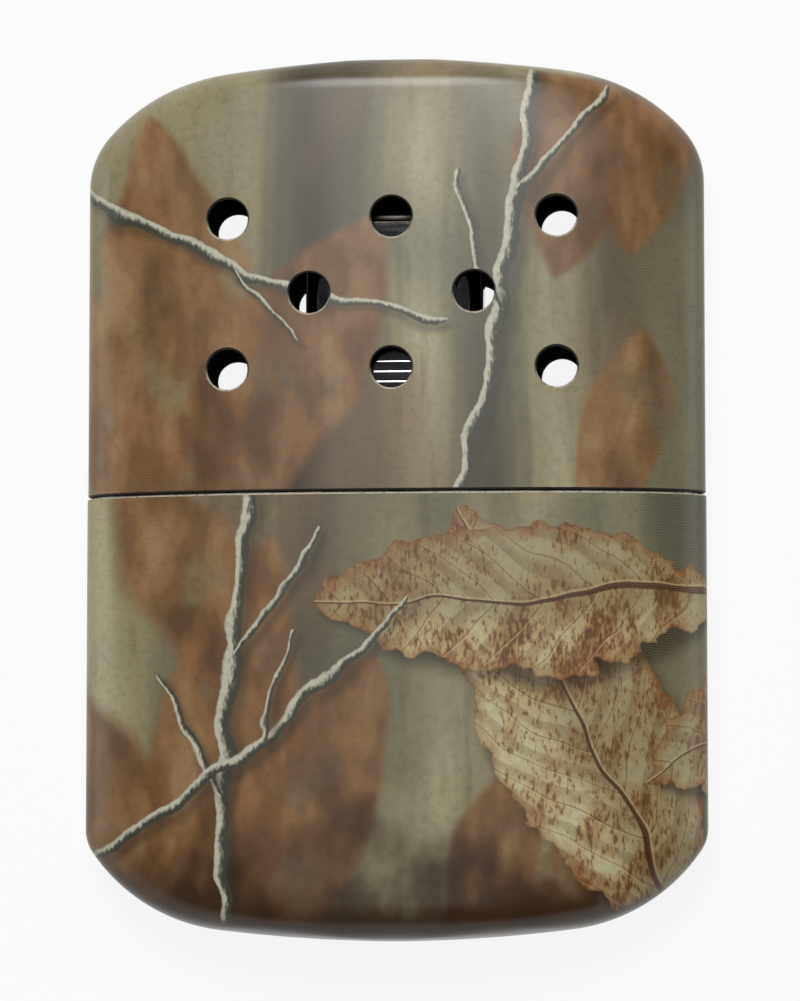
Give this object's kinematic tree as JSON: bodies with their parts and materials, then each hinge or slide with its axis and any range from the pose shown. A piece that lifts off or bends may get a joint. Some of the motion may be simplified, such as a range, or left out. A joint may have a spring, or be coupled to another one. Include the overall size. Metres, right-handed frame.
{
  "type": "catalytic hand warmer",
  "caption": "Flat oval catalytic hand warmer with a pull-off vented cover, a fuel tank case and a plug-on burner, lying on its back face.",
  "frame": {"origin": "the middle of the outline, on the flat strip of the back face that the object lies on", "axes": "+X to the right as the printed front is seen with the cover up, +Y from the tank's end to the cover's end, +Z out of the front face"},
  "size_m": [0.068, 0.0964, 0.013],
  "materials": {
    "printed_metal_cover": "satin",
    "printed_metal_case": "satin",
    "plated_sheet": "satin",
    "neck_metal": "satin",
    "cotton": "matte",
    "gauze": "matte",
    "burner_chrome": "gloss",
    "screen_wire": "satin",
    "catalyst_fibre": "matte"
  },
  "bodies": {
    "case": {"lower_case": "printed_metal_case", "tank_collar": "plated_sheet", "filler_neck": "neck_metal", "batting": "cotton", "gauze_pad": "gauze"},
    "cover": {"upper_cover": "printed_metal_cover"},
    "burner": {"burner_band": "burner_chrome", "burner_shell_front": "burner_chrome", "burner_shell_back": "burner_chrome", "burner_top": "burner_chrome", "screen_front": "screen_wire", "screen_back": "screen_wire", "catalyst_pad": "catalyst_fibre"}
  },
  "joints": [
    {"name": "cover_lift", "type": "slide", "parent": "case", "child": "cover", "axis": [0, 1, 0], "range_m": [0, 0.045]},
    {"name": "burner_pull", "type": "slide", "parent": "case", "child": "burner", "axis": [0, 1, 0], "range_m": [0, 0.01]}
  ]
}
